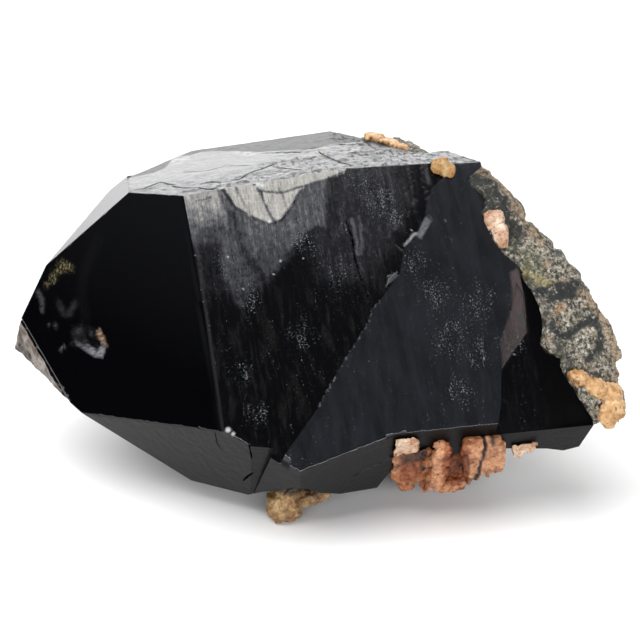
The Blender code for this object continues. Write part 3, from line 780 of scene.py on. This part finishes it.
# Small facets and the step's edge, painted as highlights.
RISER_FACET_HIGHLIGHT = [(15.0, 7.6), (17.0, 10.4), (17.7, 9.6), (15.6, 7.0)]
LOWER_FACET_HIGHLIGHT = [(9.6, 1.2), (9.9, 2.6), (11.3, 2.7), (11.4, 2.2)]
STEP_EDGE_HIGHLIGHT = [(8.2, -1.0), (6.8, -2.1), (5.9, -3.9), (3.2, -7.0), (0.7, -9.8), (-3.0, -14.6)]
BROWN_WINDOW = [
    (28.6, 0.4), (28.9, -3.6), (28.4, -8.8), (23.7, -13.6), (24.2, -9.6), (26.6, -5.4), (27.2, -2.6),
    (27.4, 0.0),
]


def front_veils_and_reflection(right, up, wobble):
    """How pale the upper left of the front face is painted: inner veils, with painted reflection that is
    strongest toward the top and the left edge.
    """
    arch = area(right, up + 0.25 * wobble, ARCH, 0.3)
    grey = area(right, up + wobble, GREY_VEIL, 2.0)
    middle = area(right, up, MIDDLE_VEIL, 5.0)
    # Painted reflection: a strip along the left edge that is paler toward the top, and a glow over the upper
    # left of the face.
    reflection_band = step(right + wobble, -9.0, -12.0) * (0.24 + 0.74 * step(up + 1.6 * wobble, 8.0, 18.5))
    reflection_band = reflection_band * step(up + wobble, -1.0, 6.0)
    top_glow = 0.22 * step(up, 6.0, 18.0) * step(right, 14.0, 4.0)
    grey = 0.50 * grey * (0.75 + 0.25 * step(up, 4.0, 12.0))
    veils_and_reflection = strongest(grey, 0.27 * middle, 0.76 * reflection_band, top_glow, 0.84 * arch)
    rim = stroke(right, up + 0.25 * wobble, ARCH_RIM, 0.08, 0.3) * step(wobble, -0.5, 0.3)
    return veils_and_reflection * (1.0 - 0.55 * np.maximum(rim, strokes(right, up, wobble, VEIL_LINES)))


def front_glint(right, up, mm, wobble):
    """Painted highlights on the front face: bright points and lines, and small facets and the step's edge
    painted as if catching light.
    """
    glint = strongest(
        spots(right, up, FRONT_SPARKS),
        strokes(right, up, wobble, FRONT_GLEAMS),
        0.10 * stroke(right, up, UPPER_GLEAM, 0.08, 0.45) * step(wobble, -0.4, 0.3),
        0.08 * stroke(right, up, SLANTED_GLEAM, 0.08, 0.5) * step(wobble, -0.3, 0.4),
        0.24 * area(right, up, RISER_FACET_HIGHLIGHT, 0.3),
        0.14 * area(right, up, LOWER_FACET_HIGHLIGHT, 0.3),
        0.25 * stroke(right + 0.15 * wobble, up, STEP_EDGE_HIGHLIGHT, 0.05, 0.2) * step(lumps(mm, 0.35, 23), 0.1, 0.5),
    )
    brown_line = stroke(right + 0.4 * wobble, up, BROWN_LINE, 0.15, 0.5)
    return glint * (1.0 - brown_line * 0.4)


def front_marks(start, mm, wobble):
    """Where the front face is, and its masks."""
    right, up, out = PRISM_FRONT.local(start)
    on_front = (np.abs(out) < 2.2) & (right > -18.0)
    window = area(right, up, BROWN_WINDOW, 0.5) * (0.45 + 0.55 * step(up, -12.5, -3.5))
    streaky = step(out, 0.55, 0.25) * np.where(right < 21.0, 1.0, 0.25) * step(up + 2.0 * wobble, 7.0, 1.0)
    marks = {
        "veils_and_reflection": front_veils_and_reflection(right, up, wobble),
        "dust": spots(right, up, DUST_DRIFTS) + DUST_EVERYWHERE,
        "brown": window,
        "streaky": streaky,
        "block": step(out, 0.3, 0.6),
        "glint": front_glint(right, up, mm, wobble),
        # The notch at the right end of the face is painted black: painted shade.
        "bite": step(right, 28.4, 30.0) * step(out, 0.1, -0.2),
    }
    return on_front, {name: np.where(on_front, values, 0.0) for name, values in marks.items()}


# Marks on the top face, on PRISM_TOP.
# Patches painted as highlights on the top face.
TOP_GLINT_PATCH_LEFT = [(-17.6, 18.0), (-17.0, 21.8), (-15.4, 22.6), (-14.0, 21.8), (-14.8, 19.6), (-16.0, 17.6)]
TOP_GLINT_PATCH_RIGHT = [(-7.4, 20.4), (-5.4, 19.4), (-4.2, 16.2), (-5.6, 15.4), (-7.0, 17.4)]
TOP_SPARKS = [
    (6.7, 6.1, 0.9, 0.7), (14.5, 2.1, 1.2, 0.5), (18.6, 1.2, 1.0, 0.5), (0.0, 5.4, 0.5, 0.7),
    (-22.6, 8.6, 0.5, 0.6),
]
ROUGH_MIDDLE = [
    (-14.0, -2.0), (-13.0, 4.6), (-8.0, 5.4), (-4.0, 10.4), (1.0, 11.0), (6.0, 10.0), (8.0, -2.0),
]
GREENISH_CORNER = [(8.4, 26.0), (7.6, 18.0), (10.6, 12.6), (14.0, 10.0), (16.0, 26.0)]
TOP_RUST_SPOTS = [(4.9, 11.2, 0.9, 1.0), (5.6, 9.8, 0.6, 0.9)]


def top_marks(start, mm, wobble):
    """Where the top face is, and its masks."""
    right, up = PRISM_TOP.local(start)[:2]
    on_top = on_top_face(start)
    # Pale patches and points painted as highlights, broken into crumbs.
    left_glint_patch = area(right + 0.4 * wobble, up + 0.6 * wobble, TOP_GLINT_PATCH_LEFT, 0.6)
    right_glint_patch = 0.9 * area(right + 0.3 * wobble, up + 0.5 * wobble, TOP_GLINT_PATCH_RIGHT, 0.6)
    crumbs = step(lumps(mm, 0.7, 22), -0.35, 0.1)
    ahead = inside(right, up, AHEAD_OF_REAR)
    busy = strongest(
        0.85 * area(right + wobble, up + wobble, ROUGH_MIDDLE, 2.0),
        step(right, 6.0, 10.0),
        0.35 * step(up, 9.0, 3.0),
    )
    greenish = area(right + wobble, up + wobble, GREENISH_CORNER, 1.5)
    marks = {
        "glint": strongest(left_glint_patch, right_glint_patch, spots(right, up, TOP_SPARKS)) * crumbs,
        "busy": np.maximum(busy * ahead, greenish),
        "smooth": (~ahead) * 0.9,
        "even": ahead * (1.0 - np.minimum(busy, 1.0)),
        "rust": 0.8 * spots(right, up, TOP_RUST_SPOTS),
    }
    return on_top, {name: np.where(on_top, values, 0.0) for name, values in marks.items()}


# Marks inside the front face of the tip, on TIP_FRONT.
TIP_SWIRL = [
    (-32.2, 3.3), (-31.0, 3.0), (-28.8, 1.9), (-27.3, 0.9), (-26.3, 1.2), (-25.7, 0.5), (-26.3, -0.2),
    (-27.2, -0.3), (-28.4, 0.4), (-30.1, 1.7),
]
TIP_VEIL = [(-31.8, 4.6), (-31.0, 3.0), (-27.0, 1.4), (-27.4, 3.6), (-29.1, 5.4)]
# Pale lines: strength, sway to the right, sway up, width, soft, points.
TIP_LINES = [
    (0.9, 0.0, 0.0, 0.2, 0.4, [(-26.6, 0.1), (-25.9, 1.0)]),
    (0.10, 0.0, 0.0, 0.15, 0.8, [(-33.4, 9.6), (-32.6, 7.9), (-31.4, 7.6), (-30.2, 8.8)]),
    (0.25, 0.0, 0.0, 0.25, 0.5, [(-37.1, 12.3), (-36.5, 10.9), (-36.8, 9.4)]),
    (0.35, 0.0, 0.0, 0.1, 0.25, [(-34.4, 2.6), (-33.9, 2.9), (-33.2, 2.9)]),
    (0.010, 0.0, 0.0, 0.6, 1.4, [(-24.0, 17.0), (-27.5, 13.0), (-29.0, 9.5), (-28.4, 6.5)]),
]
TIP_PALE_SPOTS = [(-34.6, 6.4, 0.7, 1.0), (-35.9, 6.9, 0.5, 1.0)]
TIP_RUST = [(-26.9, 3.6), (-26.2, 3.7), (-25.5, 2.2), (-25.4, 1.2), (-26.1, 1.6), (-26.6, 2.6)]
TIP_MOSS = [
    (-32.0, 14.8, 1.6, 1.0), (-30.6, 14.6, 1.1, 0.9), (-33.8, 13.6, 1.2, 0.9), (-35.2, 12.8, 0.9, 0.8),
    (-29.6, 14.0, 0.7, 0.6),
]


def tip_marks(start, wobble):
    """Where the front face of the tip is, and its masks."""
    right, up, out = TIP_FRONT.local(start)
    on_tip = np.abs(out) < 0.4
    pale = strongest(
        area(right, up, TIP_SWIRL, 0.4) * (0.45 + 0.55 * step(right, -31.0, -27.0)),
        0.16 * area(right, up, TIP_VEIL, 0.9) * step(wobble, -0.4, 0.3),
        strokes(right, up, wobble, TIP_LINES),
        0.16 * spots(right, up, TIP_PALE_SPOTS),
    )
    marks = {
        "pale": pale,
        "rust": 0.85 * area(right, up, TIP_RUST, 0.45),
        "moss": spots(right, up, TIP_MOSS) * step(wobble, -0.5, 0.3),
    }
    return {name: np.where(on_tip, values, 0.0) for name, values in marks.items()}


def paint_crystal(mesh, start, crack):
    """Masks for the crystal's materials."""
    mm = start / MM
    wobble = lumps(mm, 1.3, 20) * 0.7 + lumps(mm, 0.5, 21) * 0.3
    on_front, front = front_marks(start, mm, wobble)
    on_top, top = top_marks(start, mm, wobble)
    tip = tip_marks(start, wobble)
    for name in ("veils_and_reflection", "dust", "brown", "streaky", "block"):
        store(mesh, name, front[name])
    for name in ("busy", "smooth", "even"):
        store(mesh, name, top[name])
    store(mesh, "rust", np.where(on_top, top["rust"], tip["rust"]))
    store(mesh, "pale", np.where(on_front, 0.0, tip["pale"]))
    store(mesh, "moss", tip["moss"])
    store(mesh, "glint", np.where(on_front, front["glint"], top["glint"]))
    # Cracks and the notch are painted black: painted shade in the grooves and the notch.
    store(mesh, "crack", np.maximum(crack, front["bite"]))


def build_crystal():
    crystal = piece_of("morion_crystal", "crystal")
    paints = {
        PLAIN: quartz("morion", 0.04),
        FRONT_FACE: front_quartz(),
        TOP_FACE: top_quartz(),
        CHIP: broken_quartz(),
        LEFT_BREAKS: quartz("morion_break", 0.25, 0.20, 0.25),
        LEDGE: quartz("morion_ledge", 0.42, 0.20, 0.3),
        TIP_UPPER_FACE: quartz("morion_upper", 0.30),
    }
    for zone in sorted(paints):
        crystal.data.materials.append(paints[zone])
    bm = bmesh.new()
    bm.from_mesh(crystal.data)
    bmesh.ops.remove_doubles(bm, verts=bm.verts, dist=1e-7)
    bmesh.ops.dissolve_limit(bm, angle_limit=math.radians(0.4), verts=bm.verts, edges=bm.edges)
    bm.normal_update()
    sharp = sharp_edges(bm, least=16.0)
    for face in bm.faces:
        face.material_index = zone_of(face.normal, face.calc_center_median())
    refine(bm, sharp)
    bm.normal_update()
    for face in bm.faces:
        face.smooth = True
    flat_angle = math.radians(1.5)
    for edge in bm.edges:
        edge.smooth = len(edge.link_faces) == 2 and edge.calc_face_angle(0.0) < flat_angle
    bm.to_mesh(crystal.data)
    bm.free()
    mesh = crystal.data
    start = positions(mesh)
    co = wear_edges(shape_crystal(start), sharp)
    co, crack = cut_cracks(co, start)
    place(mesh, co, crystal_low, crystal_high)
    paint_crystal(mesh, start, crack)
    modifier = crystal.modifiers.new("Normals", "WEIGHTED_NORMAL")
    modifier.keep_sharp = True
    apply_modifiers(crystal)


def rough_piece(node, name, slot_name, paint, voxel, relief, lump, seed, grow, masks):
    """A CAD node with a finer, rougher surface that stays inside the node's own box. Lengths are in mm."""
    piece = piece_of(node, name)
    modifier = piece.modifiers.new("Remesh", "REMESH")
    modifier.mode = "VOXEL"
    modifier.voxel_size = voxel * MM
    apply_modifiers(piece)
    mesh = piece.data
    co = positions(mesh)
    normals = np.empty(len(mesh.vertices) * 3, np.float32)
    mesh.vertices.foreach_get("normal", normals)
    mm = co / MM
    height = lumps(mm, lump, seed)
    height = height + 0.5 * lumps(mm, lump * 0.47, seed + 1) + 0.35 * lumps(mm, lump * 0.21, seed + 2)
    move = np.minimum(height, 0.5) * relief + grow
    place(mesh, co + normals.reshape(-1, 3) * move[:, None] * MM, *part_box(node))
    if masks:
        for mask, values in masks(positions(mesh)).items():
            store(mesh, mask, values)
    mesh.materials.clear()
    mesh.materials.append(paint)
    for polygon in mesh.polygons:
        polygon.use_smooth = True
        polygon.material_index = 0


# Marks on the granite, on GRANITE_FRONT.
GRANITE_DARK_TOP = [
    (14.0, 16.5), (22.5, 14.5), (25.0, 9.2), (25.6, 4.9), (23.2, 2.6), (20.6, 3.8), (18.0, 7.7),
]
GRANITE_DARK_BAND = [
    (25.2, -3.4), (28.8, -3.2), (33.0, -2.6), (33.6, -4.2), (30.0, -5.9), (26.0, -6.5), (24.0, -4.0),
]
GRANITE_DARK_SEAM = [
    (22.9, -1.0), (25.4, -3.6), (26.4, -8.0), (27.2, -14.0), (25.8, -14.2), (24.6, -8.0), (22.4, -3.0),
]
GRANITE_VEINS = [
    (1.0, 0.0, 0.0, 0.7, 0.5, [(25.6, -9.6), (26.6, -11.0), (28.0, -11.5), (30.1, -10.2), (33.0, -8.8)]),
    (1.0, 0.0, 0.0, 0.7, 0.5, [(33.4, -9.6), (34.0, -11.4), (33.2, -13.4), (30.8, -15.1)]),
    (0.8, 0.0, 0.0, 0.9, 0.8, [(26.4, -13.7), (28.1, -16.8), (30.5, -17.4)]),
]
GRANITE_UPPER_RIM = [(20.6, 15.6), (22.8, 13.2), (25.2, 7.6), (27.4, 4.0)]
GRANITE_LOWER_RIM = [(32.6, -5.0), (34.6, -8.0), (36.0, -11.6), (36.0, -15.4), (35.4, -20.0)]
YELLOW_LEDGE = [(22.6, -1.3), (24.6, -2.5), (26.9, -3.0)]


def granite_masks(co):
    right, up = GRANITE_FRONT.local(co)[:2]
    mm = co / MM
    wobble = lumps(mm, 1.8, 30) * 0.8 + lumps(mm, 0.7, 31) * 0.4
    x = right + 0.5 * wobble
    y = up + 0.5 * wobble
    dark = strongest(
        0.95 * area(x, y, GRANITE_DARK_TOP, 1.6),
        area(x, y, GRANITE_DARK_BAND, 0.7),
        0.6 * area(x, y, GRANITE_DARK_SEAM, 0.7),
        strokes(x, y, wobble, GRANITE_VEINS),
        spots(x, y, [(29.6, 1.8, 1.8, 0.9), (31.0, -8.2, 0.8, 0.6)]),
    )
    rim = np.maximum(stroke(x, y, GRANITE_UPPER_RIM, 1.0, 1.2), stroke(x, y, GRANITE_LOWER_RIM, 0.8, 1.2))
    green_spots = [
        (22.2, 3.7, 3.0, 1.0), (24.8, 0.2, 3.4, 1.0), (19.5, 12.0, 2.4, 0.8), (25.5, -14.5, 2.4, 0.7),
    ]
    orange_spots = [(28.2, -7.0, 0.9, 1.0), (27.2, -7.6, 0.6, 0.8)]
    return {
        "tan": np.maximum(rim * 0.8, spots(x, y, [(19.8, 15.0, 1.2, 1.0), (29.5, -3.0, 1.0, 0.6)])),
        "green": spots(x, y, green_spots),
        "yellow": stroke(x, y, YELLOW_LEDGE, 0.6, 0.6),
        "dark": dark * (1.0 - 0.8 * rim),
        "orange": spots(x, y, orange_spots) * step(lumps(mm, 0.6, 33), -0.4, 0.0),
    }


# Marks on the cluster of feldspar, on MIDDLE_BREAK.
DEEP_HOLLOW = [(14.6, -1.6), (18.3, -1.0), (18.8, -9.0), (17.6, -10.8), (15.2, -9.8), (14.8, -6.0)]
LEFT_HOLLOW = [(8.4, -3.2), (12.8, -2.4), (12.4, -7.0), (10.8, -9.4), (9.2, -8.6)]
LEFT_BLADE = [(6.4, -7.0), (6.8, -3.0), (9.0, -3.0), (8.8, -6.6)]
MIDDLE_BLADE = [(13.2, -0.8), (15.0, -0.8), (14.8, -7.0), (14.0, -10.6), (12.4, -10.4), (13.4, -7.0)]
RIGHT_BLADE = [(18.6, -0.4), (24.5, -0.4), (24.5, -9.0), (19.2, -9.4)]
LOWER_RIM = [(12.0, -10.8), (14.4, -11.3), (16.6, -12.3), (18.4, -10.8)]
CLUSTER_SHADE = [(8.6, -2.8), (12.8, -2.0), (12.6, -4.4), (9.4, -4.6)]
CLUSTER_GAPS = [
    (1.0, 0.0, 0.0, 0.15, 0.4, [(19.4, -9.2), (20.1, -7.0), (20.4, -4.0), (20.9, -1.0)]),
    (0.8, 0.0, 0.0, 0.1, 0.3, [(18.2, -2.0), (18.6, -4.6), (18.5, -7.4)]),
]


def cluster_masks(co):
    right, up = MIDDLE_BREAK.local(co)[:2]
    wobble = lumps(co / MM, 1.1, 35) * 0.5
    x = right + wobble
    y = up + wobble
    # Hollows: reddish colour darkened as painted shade.
    reddish_and_shade = np.maximum(area(x, y, DEEP_HOLLOW, 0.8), 0.9 * area(x, y, LEFT_HOLLOW, 0.9))
    pink = strongest(
        area(x, y, LEFT_BLADE, 0.6),
        area(x, y, MIDDLE_BLADE, 0.5),
        area(x, y, RIGHT_BLADE, 0.6),
        stroke(x, y, LOWER_RIM, 0.5, 0.7),
    )
    # Painted shade in cavities, in the gaps between blades and in a shaded corner.
    hole_shade = strongest(
        spots(right, up, [(12.2, -6.2, 0.9, 1.0), (22.0, -0.6, 0.7, 0.9), (10.0, -9.6, 0.5, 0.8)]),
        strokes(right, up, wobble, CLUSTER_GAPS),
        0.8 * area(right, up, CLUSTER_SHADE, 1.0),
    )
    return {"reddish_and_shade": reddish_and_shade, "pink": pink * (1.0 - reddish_and_shade), "hole_shade": hole_shade}


def knob_masks(co):
    """The knob is darker and reddish near the ground and reddish in spots, with painted shade where it meets
    the crystal.
    """
    height = co[:, 2] / MM
    reddish = 0.35 * step(height, 1.6, 0.4) + 0.5 * step(lumps(co / MM, 1.0, 36), 0.25, 0.5)
    return {"reddish_and_shade": reddish, "hole_shade": step(height, 4.4, 5.4) * 0.9}


build_crystal()
tan = feldspar("tan_feldspar", (0.09, 0.05, 0.018), (0.24, 0.135, 0.052), (0.42, 0.275, 0.13))
golden = feldspar("golden_feldspar", (0.16, 0.09, 0.02), (0.40, 0.20, 0.06), (0.48, 0.34, 0.17))
pink = feldspar("pink_feldspar", (0.24, 0.11, 0.05), (0.50, 0.29, 0.18), (0.68, 0.54, 0.42))
orange = feldspar("orange_feldspar", (0.10, 0.025, 0.008), (0.33, 0.105, 0.034), (0.48, 0.215, 0.09))
salmon = feldspar("salmon_feldspar", (0.28, 0.13, 0.045), (0.50, 0.28, 0.115), (0.68, 0.45, 0.24))
# Pieces of rock: node, name, slot and material, then voxel, relief and lump sizes, seed, growth and masks.
ROCKS = (
    ("granite_matrix", "granite", "granite", granite(), 0.34, 0.55, 2.0, 1, 0.2, granite_masks),
    ("feldspar_cluster", "cluster", "orange_feldspar", orange, 0.18, 0.55, 1.0, 2, 0.3, cluster_masks),
    ("feldspar_crust", "crust", "orange_feldspar", salmon, 0.18, 0.45, 1.1, 3, 0.1, None),
    ("feldspar_knob", "knob", "tan_feldspar", tan, 0.15, 0.45, 1.0, 4, 0.0, knob_masks),
    ("feldspar_grain", "grain", "tan_feldspar", pink, 0.14, 0.35, 0.9, 5, 0.2, None),
    ("feldspar_top_patch", "top_patch", "tan_feldspar", salmon, 0.14, 0.3, 0.9, 6, 0.3, None),
    ("feldspar_edge_lump", "edge_lump", "tan_feldspar", golden, 0.12, 0.3, 0.8, 7, 0.0, None),
    ("feldspar_upper_chip", "upper_chip", "tan_feldspar", pink, 0.12, 0.3, 0.8, 8, 0.0, None),
    ("feldspar_right_chip", "right_chip", "tan_feldspar", pink, 0.12, 0.3, 0.8, 9, 0.0, None),
)
for rock in ROCKS:
    rough_piece(*rock)


# The stage: floor, lights and camera, in metres.


def panel(name, size, at, look_at, strength=None):
    """A flat rectangle that faces a point. With a strength it gives light."""
    mesh = bpy.data.meshes.new(name)
    x = size[0] / 2
    y = size[1] / 2
    mesh.from_pydata([(-x, -y, 0), (x, -y, 0), (x, y, 0), (-x, y, 0)], [], [(0, 1, 2, 3)])
    made = bpy.data.objects.new(name, mesh)
    bpy.context.scene.collection.objects.link(made)
    made.location = at
    made.rotation_mode = "QUATERNION"
    made.rotation_quaternion = (Vector(look_at) - Vector(at)).to_track_quat("Z", "Y")
    paint = bpy.data.materials.new(name)
    paint.use_nodes = True
    shader = paint.node_tree.nodes["Principled BSDF"]
    shader.inputs["Base Color"].default_value = (0.9, 0.9, 0.9, 1.0)
    shader.inputs["Roughness"].default_value = 0.9
    if strength:
        shader.inputs["Base Color"].default_value = (0.0, 0.0, 0.0, 1.0)
        shader.inputs["Specular IOR Level"].default_value = 0.0
        shader.inputs["Emission Color"].default_value = (1.0, 1.0, 1.0, 1.0)
        shader.inputs["Emission Strength"].default_value = strength
    made.data.materials.append(paint)


panel("floor", (6.0, 6.0), (0.0, 0.0, 0.0), (0.0, 0.0, 1.0))
panel("backdrop", (3.0, 0.64), (0.0, 0.85, 0.32), (0.0, 0.0, 0.32), 3.1)
panel("overhead", (1.4, 0.95), (-0.38, -0.22, 0.95), (-0.38, -0.22, 0.0), 3.7)
panel("front_light", (2.4, 0.35), (0.1, -1.5, 0.62), (0.0, 0.0, 0.0), 9.0)

# The studio round the specimen: its brightness at some heights, from 0 at the horizon to 1 straight up.
SKY_STOPS = ((0.0, 0.03), (0.17, 0.02), (0.26, 0.16), (0.40, 0.10), (0.62, 0.04), (0.74, 0.09))
SKY_TINT = (0.92, 0.96, 1.1)
world = bpy.data.worlds.new("studio")
world.use_nodes = True
tree = world.node_tree
aim = tree.nodes.new("ShaderNodeTexCoord").outputs["Generated"]
split = tree.nodes.new("ShaderNodeSeparateXYZ")
tree.links.new(aim, split.inputs[0])
sky = tree.nodes.new("ShaderNodeValToRGB")
tree.links.new(split.outputs["Z"], sky.inputs["Fac"])
while len(sky.color_ramp.elements) < len(SKY_STOPS):
    sky.color_ramp.elements.new(0.5)
for element, (position, level) in zip(sky.color_ramp.elements, SKY_STOPS):
    element.position = position
    element.color = (*[level * tint for tint in SKY_TINT], 1.0)
tree.links.new(sky.outputs["Color"], tree.nodes["Background"].inputs["Color"])
bpy.context.scene.world = world

CAMERA_ELEVATION = math.radians(22.4)
CAMERA_DISTANCE = 0.267
camera_data = bpy.data.cameras.new("camera")
camera_data.lens = 100.0
camera_data.sensor_width = 36.0
camera_data.clip_start = 0.01
camera_data.clip_end = 20.0
camera = bpy.data.objects.new("camera", camera_data)
bpy.context.scene.collection.objects.link(camera)
to_camera = Vector((0.0, -math.cos(CAMERA_ELEVATION), math.sin(CAMERA_ELEVATION)))
camera.location = CENTRE + to_camera * CAMERA_DISTANCE
camera.rotation_euler = (math.radians(90.0) - CAMERA_ELEVATION, 0.0, 0.0)
bpy.context.scene.camera = camera
bpy.context.scene.view_settings.view_transform = "Standard"
